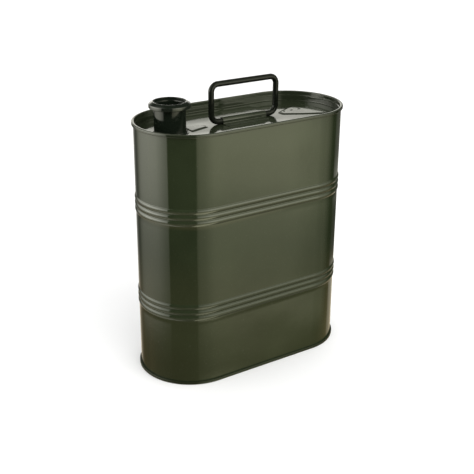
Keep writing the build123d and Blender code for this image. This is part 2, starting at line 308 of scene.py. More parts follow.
def paint(name, colour, gloss, dusty, bare, wear_share, shine=0.5, shaded_foot_shine=None):
    """Glossy paint on steel: slow tone changes, fine dust, orange peel, and thin paint along worn edges.

    With a foot value, the shine falls to it toward the can's foot: painted shade on the reflections low on
    the can.
    """
    material = bpy.data.materials.new(name)
    material.use_nodes = True
    tree = material.node_tree
    shader = tree.nodes["Principled BSDF"]
    place = node(tree, "ShaderNodeTexCoord").outputs["Object"]

    tone = noise_at(tree, place, 14.0, 4.0)
    darker = tuple(0.82 * c for c in colour)
    lighter = tuple(1.16 * c for c in colour)
    base = mix_colours(tree, remap(tree, tone, 0.3, 0.7, 0.0, 1.0), darker, lighter)

    specks = noise_at(tree, place, 620.0, 2.0, 0.7)
    dust_amount = remap(tree, specks, 0.62, 0.80, 0.0, 0.30)
    dusted = mix_colours(tree, dust_amount, base, dusty)

    wear = node(tree, "ShaderNodeAttribute", attribute_name="wear").outputs["Fac"]
    breakup = noise_at(tree, place, 210.0, 6.0, 0.65)
    worn = math_of(tree, "MULTIPLY", wear, breakup)
    chipped = remap(tree, worn, 1.0 - wear_share, 1.04 - wear_share, 0.0, 1.0)
    thinned = remap(tree, worn, 0.15, 0.75, 0.0, 0.35)
    thin = mix_colours(tree, thinned, dusted, dusty)
    tree.links.new(mix_colours(tree, chipped, thin, bare), shader.inputs["Base Color"])
    tree.links.new(math_of(tree, "MULTIPLY", chipped, 0.9), shader.inputs["Metallic"])

    smear = noise_at(tree, place, 46.0, 5.0, 0.6)
    gloss_low, gloss_high = gloss
    rough = remap(tree, smear, 0.35, 0.72, gloss_low, gloss_high)
    rougher = math_of(tree, "ADD", rough, math_of(tree, "MULTIPLY", dust_amount, 0.5))
    roughest = math_of(tree, "ADD", rougher, math_of(tree, "MULTIPLY", chipped, 0.25))
    tree.links.new(roughest, shader.inputs["Roughness"])

    grain = noise_at(tree, place, 720.0, 2.0, 0.5)
    ripple = noise_at(tree, place, 95.0, 2.0, 0.5)
    relief = math_of(tree, "ADD", math_of(tree, "MULTIPLY", grain, 0.3), ripple)
    lower = math_of(tree, "SUBTRACT", relief, math_of(tree, "MULTIPLY", chipped, 0.6))
    bump = node(tree, "ShaderNodeBump")
    set_inputs(bump, Strength=0.05, Distance=0.0006)
    tree.links.new(lower, bump.inputs["Height"])
    tree.links.new(bump.outputs["Normal"], shader.inputs["Normal"])
    set_inputs(shader, IOR=1.5, Specular_IOR_Level=shine)
    # Toward the foot the shine is lowered by height: painted shade on the reflections there.
    if shaded_foot_shine is not None:
        split = node(tree, "ShaderNodeSeparateXYZ")
        tree.links.new(place, split.inputs["Vector"])
        level = remap(tree, split.outputs["Z"], DIM_REFLECTION_BELOW, FULL_REFLECTION_ABOVE, shaded_foot_shine, shine)
        tree.links.new(level, shader.inputs["Specular IOR Level"])
    return material


def rubbery(name, colour):
    """Dull sealing compound."""
    material = bpy.data.materials.new(name)
    material.use_nodes = True
    tree = material.node_tree
    shader = tree.nodes["Principled BSDF"]
    place = node(tree, "ShaderNodeTexCoord").outputs["Object"]
    tone = remap(tree, noise_at(tree, place, 300.0, 4.0), 0.3, 0.7, 0.0, 1.0)
    lighter = tuple(1.6 * c for c in colour)
    tree.links.new(mix_colours(tree, tone, colour, lighter), shader.inputs["Base Color"])
    tree.links.new(remap(tree, tone, 0.0, 1.0, 0.55, 0.75), shader.inputs["Roughness"])
    return material


STEEL = (0.30, 0.29, 0.27)
DUST = (0.075, 0.078, 0.06)
DARK_DUST = (0.03, 0.033, 0.027)
BLACK_DUST = (0.03, 0.032, 0.026)
BLACK_GREEN = (0.0055, 0.008, 0.005)
DIM_REFLECTION_BELOW = 0.095                        # metres above the floor: the body's paint has its shine lowered below, as painted shade
FULL_REFLECTION_ABOVE = 0.165                      # and keeps its full shine above

# name, colour, roughness range, dust colour, bare metal, how readily edges chip, shine, shine at the foot
# (lowered there as painted shade)
BODY_PAINT = paint("body_paint", (0.0195, 0.0262, 0.0122), (0.04, 0.07), DUST, STEEL, 0.12, 0.5, 0.3)
# The bottom end: a darker, duller copy of the body paint, painted shade at the can's foot.
SHADED_BASE_PAINT = paint("base_paint_painted_shade", (0.014, 0.0185, 0.0088), (0.14, 0.24), DUST, STEEL, 0.12, 0.16)
DECK_PAINT = paint("deck_paint", (0.016, 0.0205, 0.011), (0.05, 0.10), DUST, STEEL, 0.14)
NECK_PAINT = paint("neck_paint", BLACK_GREEN, (0.09, 0.16), DARK_DUST, STEEL, 0.16, 0.34)
COLLAR_PAINT = paint("collar_paint", BLACK_GREEN, (0.09, 0.16), DARK_DUST, STEEL, 0.16, 0.5)
HANDLE_PAINT = paint("handle_paint", (0.0045, 0.0056, 0.0036), (0.10, 0.18), BLACK_DUST, STEEL, 0.20, 0.16)
COMPOUND = rubbery("seam_compound", (0.02, 0.02, 0.02))


def dress(piece, material, slot_name, *replaced):
    """Gives a piece its material and its body and hides the CAD nodes that it stands for; slot_name is not
    used.
    """
    piece.data.materials.clear()
    piece.data.materials.append(material)
    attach(piece, "can")
    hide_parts(*replaced)
    return piece


# ---- body sheet ------------------------------------------------------------------------
def bead_points(height):
    """One raised bead as offsets from the body: a single round crest between two tight creases."""
    half = BEAD_WIDTH / 2
    radius = (half ** 2 + BEAD_PROUD ** 2) / (2 * BEAD_PROUD)
    turn = math.asin(half / radius)
    angles = [turn * i / BEAD_STEPS for i in range(1 - BEAD_STEPS, BEAD_STEPS)]
    crest = [(BEAD_PROUD - radius * (1 - math.cos(a)), height + radius * math.sin(a)) for a in angles]
    foot = [(0.0, height - half - BEAD_CREASE), (0.02, height - half + 0.4 * BEAD_CREASE)]
    return foot + crest + [(offset, 2 * height - z) for offset, z in reversed(foot)]


def wall_profile(low, high):
    """Offset and height of the beaded sheet, from low to high."""
    profile = []
    z = low
    half = BEAD_WIDTH / 2 + BEAD_MARGIN
    for height in BEAD_HEIGHTS:
        steps = max(1, round((height - half - z) / WALL_STEP))
        profile += run((0.0, z), (0.0, height - half), steps)
        profile += bead_points(height)
        z = height + half
    profile += run((0.0, z), (0.0, high), max(1, round((high - z) / WALL_STEP)))
    profile.append((0.0, high))
    return profile


def panel_wave(point, outward):
    """Slight unevenness of the drawn sheet, fading out at the seams."""
    seed = Vector((point.x / 75.0, point.z / 60.0, 3.0 + outward.y))
    fine = Vector((point.x / 30.0 + 9.0, point.z / 26.0, outward.y))
    fade = smooth(3.0, 22.0, point.z) * smooth(3.0, 22.0, HEIGHT - point.z)
    flat = abs(outward.y) ** 4
    wave = (BODY_WAVE * noise.noise(seed) + BODY_RIPPLE * noise.noise(fine)) * (0.25 + 0.75 * flat)
    return point + outward * wave * fade


def bead_wear(point):
    """Paint wears first on the bead crests."""
    away = min(abs(point.z - height) for height in BEAD_HEIGHTS)
    return 0.8 * (1.0 - smooth(0.2, 1.3, away))


def make_body():
    """The obround wrapper: beaded sheet of even thickness."""
    low = SEAM_HEIGHT - SEAM_OVERLAP
    high = HEIGHT - SEAM_HEIGHT + SEAM_OVERLAP
    profile = wall_profile(low, high)
    outer = [(END_RADIUS + offset, z) for offset, z in profile]
    inner = [(END_RADIUS - SHEET + offset, z) for offset, z in reversed(profile)]
    body = sweep_round("body_wrapper", outer + inner, shape=panel_wave, wear=bead_wear)
    sharpen(body, 60)
    return dress(body, BODY_PAINT, "body_paint", "body_shell")


def make_side_weld():
    """A low uneven weld bead up the middle of the back, following the sheet."""
    half = (weld_high.x - weld_low.x) / 2
    across = 8
    longest_step = 0.9
    crest = 0.25                          # height of the bead over the sheet
    ripple = 0.05
    root = 0.12                           # depth of its flat root inside the sheet
    outward = Vector((0, 1, 0))
    profile = wall_profile(weld_low.z, weld_high.z)
    rows = []
    for lower, upper in zip(profile, profile[1:]):
        rows += run(lower, upper, max(1, math.ceil((upper[1] - lower[1]) / longest_step)))
    rows.append(profile[-1])
    points = []
    for offset, z in rows:
        swell = crest + ripple * math.sin(z * 4.2) + ripple * noise.noise(Vector((0.0, 0.0, z / 3.0)))
        width = half * (0.92 + 0.10 * noise.noise(Vector((5.0, 0.0, z / 7.0))))
        for i in range(across + 1):
            t = 2 * i / across - 1
            crown = swell * math.sqrt(max(0.0, 1 - t * t))
            base = panel_wave(Vector((t * width, END_RADIUS + offset, z)), outward)
            points.append(base + outward * (crown - 0.02))
        for i in range(across, -1, -1):
            t = 2 * i / across - 1
            base = panel_wave(Vector((t * width, END_RADIUS + offset, z)), outward)
            points.append(base - outward * root)
    ring = 2 * (across + 1)
    faces = ring_faces(len(rows) - 1, len(rows), ring) + cap_faces(len(rows), ring)
    weld = make_object("side_weld_bead", points, faces)
    sharpen(weld, 60)
    return dress(weld, BODY_PAINT, "body_paint", "side_seam_weld")


# ---- top and bottom ends ---------------------------------------------------------------
def ledge_points(foot, chuck):
    """The small ledge in the top's wall, from its lower kink to the wall above, with softened kinks."""
    kink = LEDGE_KINK
    soft = 0.3 * kink
    low = -LEDGE_DEPTH - (chuck - foot)
    points = [(foot, low - kink), (foot + soft, low + soft), (foot + kink, low + kink)]
    points += [(chuck - kink, -LEDGE_DEPTH - kink), (chuck - soft, -LEDGE_DEPTH - soft)]
    points += [(chuck, -LEDGE_DEPTH + kink), (chuck, LEDGE_TOP)]
    return points


def end_section(recess, step):
    """Section of an end, rim at height 0 and panel below it, from the panel's middle out and back.

    The step is how far the foot of the wall stands inwards, over a small ledge.
    """
    chuck = END_RADIUS + CHUCK_IN
    out = END_RADIUS + SEAM_PROUD
    foot = chuck - step
    panel_out = foot - PANEL_RADIUS
    wall_foot = -recess + PANEL_RADIUS + 0.5
    upper = run((0.0, -recess), (panel_out, -recess), math.ceil(panel_out / RING_STEP))
    upper += arc(panel_out, -recess + PANEL_RADIUS, PANEL_RADIUS, -90, 0, 8)
    if step:
        upper += run((foot, wall_foot), (foot, -LEDGE_DEPTH - step), 4)
        upper += ledge_points(foot, chuck)
    else:
        upper += run((chuck, wall_foot), (chuck, -FOLD_RADIUS), 4)
    upper += arc(chuck + FOLD_RADIUS, -FOLD_RADIUS, FOLD_RADIUS, 180, 90, 8)
    upper += arc(out - FOLD_RADIUS, -FOLD_RADIUS, FOLD_RADIUS, 90, 0, 8)
    seam_foot = SEAM_FOOT_RADIUS - SEAM_HEIGHT
    upper += arc(out - SEAM_FOOT_RADIUS, seam_foot, SEAM_FOOT_RADIUS, 0, -90, 6)
    hook_top = SEAM_HOOK - SEAM_HEIGHT
    hook = END_RADIUS + 0.02
    lower = [(hook, -SEAM_HEIGHT), (hook, hook_top), (chuck + SHEET, hook_top)]
    if step:
        lower += [(chuck + SHEET, -LEDGE_DEPTH - 0.2), (foot + SHEET, -LEDGE_DEPTH - step - 0.2)]
    lower += arc(panel_out, -recess + PANEL_RADIUS, PANEL_RADIUS + SHEET, 0, -90, 8)
    rings = 24
    lower += [(panel_out * (1 - i / rings), -recess - SHEET) for i in range(1, rings + 1)]
    return upper + lower


def from_spine(point):
    """Distance of a point from the line between the centres of the two round ends."""
    return math.hypot(max(0.0, abs(point.x) - END_X), point.y)


def rim_wear(point):
    """Paint wears on the outer edge of a rolled rim."""
    if from_spine(point) < END_RADIUS + CHUCK_IN - 0.2:
        return 0.0
    from_rim = min(abs(point.z), abs(HEIGHT - point.z))
    return 0.9 * (1.0 - smooth(0.3, 1.3, from_rim))


FAN_HEIGHT = 0.8
FAN_SLOPE = 1.4                           # width of the sloping side of a fan
RIGHT_FAN = (49.0, 44.0, 4.0, 27.0)       # start, length, half width at its start and at its end
LEFT_FAN = (40.0, 21.5, 3.4, 9.8)
DIMPLES = [(56.0 + 9.5 * step, 3.5) for step in range(4)]
DIMPLE_RADIUS = 1.6
DIMPLE_DEPTH = 0.35
DISH_RISE = 1.2                           # the deck rises by this from its middle to its edge
DISH_FLAT = 12.0                          # but not this near its middle line
DISH_RUN = 38.0                           # and over this width
DISH_END = 44.0                           # nor further than this to the right of the handle
PANEL_WAVE = 0.10                         # unevenness of a pressed panel
BASE_EMBOSS = 1.2
BASE_EMBOSS_INSET = (17.6, 15.6)          # top and foot of its slope, inwards from the body's outside


def fan_height(along, across, start, length, half_start, half_end):
    """Height of a raised fan that widens away from the handle."""
    inward = along - start
    half = half_start + (half_end - half_start) * inward / length
    slant = math.cos(math.atan((half_end - half_start) / length))
    depth = min(inward, length - inward, (half - abs(across)) * slant)
    return FAN_HEIGHT * smooth(0.0, FAN_SLOPE, depth)


def deck_relief(x, y):
    """Pressed relief of the deck, above its flat height."""
    height = fan_height(x, y, *RIGHT_FAN) + fan_height(-x, y, *LEFT_FAN)
    for cx, cy in DIMPLES:
        height -= DIMPLE_DEPTH * (1.0 - smooth(0.2, DIMPLE_RADIUS, math.hypot(x - cx, y - cy)))
    return height


def panel_fade(point):
    """1 over the flat of a sunk panel, 0 at its edge."""
    return 1.0 - smooth(END_RADIUS - 12.0, END_RADIUS - 4.0, from_spine(point))


def on_panel(point, panel_z):
    """True for the points of an end's sunk panel."""
    return abs(point.z - panel_z) <= SHEET + 0.3


def panel_unevenness(point, seed):
    """Slow unevenness of a pressed panel."""
    return PANEL_WAVE * noise.noise(Vector((point.x / 34.0, point.y / 26.0, seed)))


def shape_deck(point, outward):
    """Presses the relief, a slight dish and a slight unevenness into the deck; flat under the saddle."""
    if not on_panel(point, DECK_Z):
        return point
    from_saddle = abs(point.x - HANDLE_X) - 26.0 + max(0.0, abs(point.y) - 13.0)
    wave = panel_unevenness(point, 1.5) * smooth(0.0, 8.0, from_saddle)
    along = 1.0 - smooth(DISH_END - 12.0, DISH_END, point.x - HANDLE_X)
    dish = DISH_RISE * along * (max(0.0, from_spine(point) - DISH_FLAT) / DISH_RUN) ** 2
    lift = deck_relief(point.x, point.y) + wave + dish
    return point + Vector((0, 0, lift * panel_fade(point)))


def shape_base(point, outward):
    """Presses a raised middle and a slight unevenness into the panel under the can."""
    if not on_panel(point, BASE_PANEL_Z):
        return point
    slope_top, slope_foot = (END_RADIUS - inset for inset in BASE_EMBOSS_INSET)
    raised = BASE_EMBOSS * (1.0 - smooth(slope_top, slope_foot, from_spine(point)))
    wave = panel_unevenness(point, 8.5) * panel_fade(point)
    return point + Vector((0, 0, raised + wave))


def make_top():
    """The sunk top with its ledged wall and rolled rim, open under the neck."""
    recess = HEIGHT - DECK_Z
    section = [(radius, HEIGHT + z) for radius, z in end_section(recess, LEDGE_STEP)]
    top = sweep_round("top_panel", section, shape=shape_deck, closed=False, wear=rim_wear)
    axis = 0.01
    rim = NECK_RADIUS + 0.6
    low = DECK_Z - 6
    high = DECK_Z + 6
    hole = spin("neck_hole", NECK_X, [(axis, low), (rim, low), (rim, high), (axis, high)], 96)
    cut(top, hole, "DIFFERENCE")
    sharpen(top, 60)
    return dress(top, DECK_PAINT, "deck_paint", "top_end")


def make_base():
    """The sunk bottom with its rolled rim."""
    section = [(radius, -z) for radius, z in end_section(BASE_PANEL_Z, 0.0)]
    base = sweep_round("base_panel", section, shape=shape_base, closed=False, wear=rim_wear)
    sharpen(base, 60)
    return dress(base, SHADED_BASE_PAINT, "body_paint", "bottom_end")


# ---- neck ------------------------------------------------------------------------------
NECK_BEND = 0.9                           # inner bend between the tube and its flange
NECK_INNER_ROWS = (270.0, 262.0, 256.0)   # heights of the points of its straight sides
NECK_OUTER_ROWS = (252.0, 256.0, 262.0, 268.0, 274.0)


def collar_wear(point):
    """Paint wears on the outer and upper edges of the ring round the mouth."""
    radius, z = point
    return 0.9 if radius > COLLAR_RADIUS - 0.5 or z > collar_high.z - 0.3 else 0.15


def make_neck():
    """The drawn neck: a tube with a flange under the deck."""
    inner = NECK_RADIUS - NECK_WALL
    flange = (tube_high.x - tube_low.x) / 2
    low = tube_low.z
    high = tube_high.z
    over = low + NECK_WALL
    edge = 0.15
    root = 0.4
    tube = [(inner, z) for z in (high - 0.1, *NECK_INNER_ROWS, low + 1.2)]
    tube += arc(inner + NECK_BEND, low + NECK_BEND, NECK_BEND, 180, 270, 5)
    tube += [(flange - 0.3, low), (flange, low + 0.2), (flange, over - 0.1), (flange - 0.2, over)]
    tube += arc(NECK_RADIUS + root, over + root, root, 270, 180, 4)
    tube += [(NECK_RADIUS, z) for z in (*NECK_OUTER_ROWS, high - 0.1)]
    tube += [(NECK_RADIUS - edge, high), (inner + edge, high)]
    neck = spin("neck_sleeve", NECK_X, tube, wear=lambda p: 0.1)
    sharpen(neck, 50)
    return dress(neck, NECK_PAINT, "neck_paint", "neck_tube")


def make_solder():
    """The concave fillet of solder round the foot of the neck, slightly uneven."""
    width = (ring_high.x - ring_low.x) / 2 - NECK_RADIUS
    tall = ring_high.z - ring_low.z
    toe = 0.05
    inner = NECK_RADIUS - 0.02
    section = [(inner, DECK_Z - 0.15), (NECK_RADIUS + width, DECK_Z - 0.15)]
    for i in range(9):
        a = math.pi / 2 * i / 8
        radius = NECK_RADIUS + width * (1 - math.sin(a))
        section.append((radius, DECK_Z + toe + (tall - toe) * (1 - math.cos(a))))
    section.append((inner, DECK_Z + tall))
    ring = spin("neck_fillet", NECK_X, section, wear=lambda p: 0.1)
    for vertex in ring.data.vertices:
        a = math.atan2(vertex.co.y, vertex.co.x - NECK_X * MM)
        ripple = noise.noise(Vector((2.2 * math.cos(a), 2.2 * math.sin(a), vertex.co.z * 60)))
        away = vertex.co.xy - Vector((NECK_X * MM, 0))
        if away.length > (NECK_RADIUS + 0.3) * MM and vertex.co.z > (DECK_Z + 0.1) * MM:
            vertex.co.z += 0.08 * MM * ripple
    return dress(ring, NECK_PAINT, "neck_paint", "neck_solder_ring")


def make_collar():
    """The ring round the mouth: an upright band that slopes in to a narrow lip."""
    top = collar_high.z
    low = collar_low.z
    inner = NECK_RADIUS + LAYER_GAP
    foot_edge = 0.5
    shoulder = 1.3
    lip_edge = 0.8
    mouth_edge = 0.5
    section = [(inner, low)] + arc(COLLAR_RADIUS - foot_edge, low + foot_edge, foot_edge, -90, 0, 5)
    section += arc(COLLAR_RADIUS - shoulder, top - 3.0, shoulder, 0, 60, 6)
    section += arc(LIP_RADIUS - 0.45, top - lip_edge, lip_edge, 60, 90, 4)
    section += arc(inner + mouth_edge, top - mouth_edge, mouth_edge, 90, 180, 4)
    section += [(inner, top - 2.5)]
    collar = spin("mouth_ring", NECK_X, section, wear=collar_wear)
    sharpen(collar, 50)
    return dress(collar, COLLAR_PAINT, "neck_paint", "mouth_collar")


def make_insert():
    """The inner ring that narrows the mouth, with a full round on top."""
    top = insert_high.z
    low = insert_low.z
    outer = (insert_high.x - insert_low.x) / 2
    roll = (outer - MOUTH_RADIUS) / 2
    section = [(outer, low)] + arc(MOUTH_RADIUS + roll, top - roll, roll, 0, 180, 14)
    section += [(MOUTH_RADIUS, top - 6.0), (MOUTH_RADIUS, low + 0.5), (MOUTH_RADIUS + 0.5, low)]
    insert = spin("pour_ring", NECK_X, section, wear=lambda p: 0.5 if p[1] > top - 1.0 else 0.0)
    sharpen(insert, 50)
    return dress(insert, COLLAR_PAINT, "neck_paint", "pour_insert")


# ---- handle ----------------------------------------------------------------------------
FOOT_BEND = 8.0
TOP_BEND = 7.3
FOOT_GAP = 16.0                           # between the wire's two ends, inside the saddle
WIRE_SIDES = 32
WIRE_PLAY = 0.08                          # between the wire and its channel
SADDLE_CORNER = 3.0


def bail_line():
    """Centre line of the wire as (x, z) points, bends included."""
    left = bail_low.x + WIRE_RADIUS
    right = bail_high.x - WIRE_RADIUS
    foot = PIVOT.z
    bar = bail_high.z - WIRE_RADIUS
    line = run((HANDLE_X - FOOT_GAP / 2, foot), (left + FOOT_BEND, foot), 10)
    line += arc(left + FOOT_BEND, foot + FOOT_BEND, FOOT_BEND, 270, 180, 12)
    line += run((left, foot + FOOT_BEND + 1), (left, bar - TOP_BEND), 12)
    line += arc(left + TOP_BEND, bar - TOP_BEND, TOP_BEND, 180, 90, 14)
    line += run((left + TOP_BEND + 1, bar), (right - TOP_BEND, bar), 30)
    line += arc(right - TOP_BEND, bar - TOP_BEND, TOP_BEND, 90, 0, 14)
    line += run((right, bar - TOP_BEND - 1), (right, foot + FOOT_BEND), 12)
    line += arc(right - FOOT_BEND, foot + FOOT_BEND, FOOT_BEND, 0, -90, 12)
    line += run((right - FOOT_BEND - 1, foot), (HANDLE_X + FOOT_GAP / 2, foot), 10)
    line.append((HANDLE_X + FOOT_GAP / 2, foot))
    return line


def make_bail():
    """The wire handle."""
    line = bail_line()
    points = []
    for i, (x, z) in enumerate(line):
        before = line[max(0, i - 1)]
        after = line[min(len(line) - 1, i + 1)]
        along = Vector((after[0] - before[0], 0, after[1] - before[1])).normalized()
        across = Vector((-along.z, 0, along.x))
        for k in range(WIRE_SIDES):
            a = 2 * math.pi * k / WIRE_SIDES
            spoke = math.cos(a) * across + Vector((0, math.sin(a), 0))
            points.append(Vector((x, 0, z)) + WIRE_RADIUS * spoke)
    rows = len(line)
    faces = ring_faces(rows - 1, rows, WIRE_SIDES) + cap_faces(rows, WIRE_SIDES)
    bar = bail_high.z - 2 * WIRE_RADIUS
    wear = [0.75 if p.z > bar or p.z < PIVOT.z + WIRE_RADIUS else 0.35 for p in points]
    bail = make_object("wire_handle", points, faces, wear)
    sharpen(bail, 50)
    bail.data.materials.append(HANDLE_PAINT)
    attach(bail, "bail")
    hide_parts("handle_bail")
    return bail


def prism(name, outline_points, axis, start, end):
    """A solid from a closed outline, extruded along X or Z."""
    count = len(outline_points)
    points = []
    for level in (start, end):
        for u, v in outline_points:
            points.append((level, u, v) if axis == "x" else (u, v, level))
    faces = [tuple(range(count)), tuple(range(count, 2 * count))]
    for k in range(count):
        m = (k + 1) % count
        faces.append((k, m, count + m, count + k))
    return make_object(name, points, faces)


def make_saddle():
    """The pressed strip: two flanges, smooth roots and a half-round channel over the wire."""
    foot = PIVOT.z - DECK_Z
    bore = WIRE_RADIUS + WIRE_PLAY
    crown = saddle_high.z - PIVOT.z
    gauge = crown - bore
    half_width = saddle_high.y
    root = 1.0
    right = [(half_width, 0.0), (half_width, gauge)]
    right += arc(crown + root, gauge + root, root, 270, 180, 5)
    top = arc(0.0, foot, crown, 0, 180, 28)
    left = [(-y, z) for y, z in reversed(right)]
    inside = [(-bore, 0.0)] + arc(0.0, foot, bore, 180, 0, 24) + [(bore, 0.0)]
    section = [(y, DECK_Z + z) for y, z in right + top + left + inside]
    saddle = prism("handle_strip", section, "x", saddle_low.x, saddle_high.x)
    right_x = saddle_high.x - SADDLE_CORNER
    left_x = saddle_low.x + SADDLE_CORNER
    side_y = half_width - SADDLE_CORNER
    corners = ((right_x, side_y, 0), (left_x, side_y, 90), (left_x, -side_y, 180), (right_x, -side_y, 270))
    plan = []
    for cx, cy, start in corners:
        plan += arc(cx, cy, SADDLE_CORNER, start, start + 90, 8)
    cut(saddle, prism("saddle_plan", plan, "z", DECK_Z - 2, DECK_Z + 12), "INTERSECT")
    bevel(saddle, 0.22)
    values = [0.55] * len(saddle.data.vertices)
    saddle.data.attributes.new("wear", "FLOAT", "POINT").data.foreach_set("value", values)
    return dress(saddle, DECK_PAINT, "deck_paint", "handle_saddle")


def make_buttons():
    """Four low weld buttons on the strip's flanges."""
    radius = 1.7
    crown = 0.25
    root = DECK_Z + 0.1
    shoulder = button_high.z - crown
    section = [(0.0, root), (radius, root), (radius, shoulder - 0.05)]
    for i in range(7):
        a = math.pi / 2 * i / 6
        section.append((radius * math.cos(a), shoulder + crown * math.sin(a)))
    buttons = []
    for x in (button_low.x + radius, button_high.x - radius):
        for y in (button_low.y + radius, button_high.y - radius):
            button = spin("weld_button", x, section, 32, wear=lambda p: 0.4)
            button.data.transform(Matrix.Translation((0, y * MM, 0)))
            buttons.append(button)
    work = bmesh.new()
    for button in buttons:
        work.from_mesh(button.data)
        bpy.data.objects.remove(button)
    mesh = bpy.data.meshes.new("weld_buttons")
    work.to_mesh(mesh)
    work.free()
    piece = bpy.data.objects.new("weld_buttons", mesh)
    bpy.context.scene.collection.objects.link(piece)
    tidy_mesh(piece)
    sharpen(piece, 50)
    return dress(piece, DECK_PAINT, "deck_paint", "saddle_spot_welds")


def dress_hidden_nodes():
    """The sealing rings keep their CAD shape, with a material of their own."""
    for name in ("top_seam_compound", "bottom_seam_compound"):
        cad = frame["nodes"][name]
        cad.data.materials.clear()
        cad.data.materials.append(COMPOUND)


make_body()
make_side_weld()
make_top()
make_base()
make_neck()
make_solder()
make_collar()
make_insert()
make_bail()
make_saddle()
make_buttons()
dress_hidden_nodes()


# ---- camera ----------------------------------------------------------------------------
CAMERA_YAW = -33.81                       # degrees about Z, from straight in front of the can
CAMERA_PITCH = 22.63                      # degrees above the horizon
CAMERA_ROLL = 0.426                       # degrees
CAMERA_DISTANCE = 948.6
CAMERA_AIM = Vector((0.0, 4.7, 123.6))
CAMERA_LENS = 68.85
CAMERA_SENSOR = 36.0


def make_camera():
    """The camera, turned about its aim by yaw and pitch and rolled slightly."""
    yaw, pitch, roll = (math.radians(a) for a in (CAMERA_YAW, CAMERA_PITCH, CAMERA_ROLL))
    back = Vector((math.sin(yaw) * math.cos(pitch), -math.cos(yaw) * math.cos(pitch), math.sin(pitch)))
    right = Vector((math.cos(yaw), math.sin(yaw), 0))
    up = back.cross(right)
    rolled_right = math.cos(roll) * right + math.sin(roll) * up
    rolled_up = math.cos(roll) * up - math.sin(roll) * right
    data = bpy.data.cameras.new("camera")
    data.lens = CAMERA_LENS
    data.sensor_width = CAMERA_SENSOR
    camera = bpy.data.objects.new("camera", data)
    bpy.context.scene.collection.objects.link(camera)
    turn = Matrix((rolled_right, rolled_up, back)).transposed().to_4x4()
    place = (CAMERA_AIM + back * CAMERA_DISTANCE) * MM
    camera.matrix_world = Matrix.Translation(place) @ turn
    bpy.context.scene.camera = camera


# ---- stage and light -------------------------------------------------------------------
FLOOR_HALF = 12.0                         # metres
DOME_RADIUS = 4.0                         # metres
FLOOR_LIGHT = (0.88, 0.88, 0.88)
FLOOR_DARK = (0.86, 0.86, 0.86)


def make_floor():
    """A wide pale floor, not seen in reflections and throwing no light back."""
    corners = [(FLOOR_HALF * x, FLOOR_HALF * y, 0) for x, y in ((-1, -1), (1, -1), (1, 1), (-1, 1))]
    mesh = bpy.data.meshes.new("floor")
    mesh.from_pydata(corners, [], [(0, 1, 2, 3)])
    floor = bpy.data.objects.new("floor", mesh)
    bpy.context.scene.collection.objects.link(floor)
    material = bpy.data.materials.new("floor_white")
    material.use_nodes = True
    tree = material.node_tree
    shader = tree.nodes["Principled BSDF"]
    set_inputs(shader, Roughness=0.7)
    place = node(tree, "ShaderNodeTexCoord").outputs["Object"]
    mottle = remap(tree, noise_at(tree, place, 4.0, 3.0), 0.3, 0.7, 0.0, 1.0)
    tree.links.new(mix_colours(tree, mottle, FLOOR_DARK, FLOOR_LIGHT), shader.inputs["Base Color"])
    mesh.materials.append(material)
    floor.visible_glossy = False
    floor.visible_diffuse = False


def ramp(tree, value, low, high, stops):
    """A curve of value through stops of (position, height)."""
    made = node(tree, "ShaderNodeFloatCurve")
    curve = made.mapping.curves[0]
    tallest = max(height for _, height in stops)
    made.mapping.use_clip = True
    made.mapping.clip_max_y = 1.0
    spots = [((position - low) / (high - low), height / tallest) for position, height in stops]
    curve.points[0].location = spots[0]
    curve.points[-1].location = spots[-1]
    for spot in spots[1:-1]:
        curve.points.new(*spot)
    for point in curve.points:
        point.handle_type = "VECTOR"
    made.mapping.update()
    tree.links.new(remap(tree, value, low, high, 0.0, 1.0), made.inputs["Value"])
    return math_of(tree, "MULTIPLY", made.outputs["Value"], tallest)


def make_reflection_dome():
    """The soft boxes, backdrop and floor of ZONES on a dome that only glossy reflections see."""
    work = bmesh.new()
    bmesh.ops.create_uvsphere(work, u_segments=64, v_segments=32, radius=DOME_RADIUS)
    mesh = bpy.data.meshes.new("reflection_dome")
    work.to_mesh(mesh)
    work.free()
    dome = bpy.data.objects.new("reflection_dome", mesh)
    bpy.context.scene.collection.objects.link(dome)
    material = bpy.data.materials.new("reflection_dome")
    material.use_nodes = True
    tree = material.node_tree
    tree.nodes.clear()
    place = node(tree, "ShaderNodeTexCoord").outputs["Object"]
    unit = node(tree, "ShaderNodeVectorMath", operation="NORMALIZE")
    tree.links.new(place, unit.inputs[0])
    axes = node(tree, "ShaderNodeSeparateXYZ")
    tree.links.new(unit.outputs[0], axes.inputs[0])
    degrees = 180.0 / math.pi
    heading = math_of(tree, "ARCTAN2", axes.outputs["Y"], axes.outputs["X"])
    turned = node(tree, "ShaderNodeMath", operation="WRAP")
    tree.links.new(math_of(tree, "MULTIPLY", heading, degrees), turned.inputs[0])
    turned.inputs[1].default_value = AROUND_END
    turned.inputs[2].default_value = AROUND_START
    azimuth = turned.outputs[0]
    elevation = math_of(tree, "MULTIPLY", math_of(tree, "ARCSINE", axes.outputs["Z"], 0.0), degrees)

    glows = []
    for around_stops, upward_stops, colour in ZONES:
        by_azimuth = ramp(tree, azimuth, AROUND_START, AROUND_END, around_stops)
        by_elevation = ramp(tree, elevation, -90, 90, upward_stops)
        glow = node(tree, "ShaderNodeEmission")
        glow.inputs["Color"].default_value = (*colour, 1.0)
        tree.links.new(math_of(tree, "MULTIPLY", by_azimuth, by_elevation), glow.inputs["Strength"])
        glows.append(glow.outputs[0])
    total = glows[0]
    for glow in glows[1:]:
        add = node(tree, "ShaderNodeAddShader")
        tree.links.new(total, add.inputs[0])
        tree.links.new(glow, add.inputs[1])
        total = add.outputs[0]
    output = node(tree, "ShaderNodeOutputMaterial")
    tree.links.new(total, output.inputs["Surface"])
    material.cycles.emission_sampling = "NONE"
    mesh.materials.append(material)
    dome.visible_camera = False
    dome.visible_diffuse = False
    dome.visible_transmission = False
    dome.visible_volume_scatter = False
    dome.visible_shadow = False


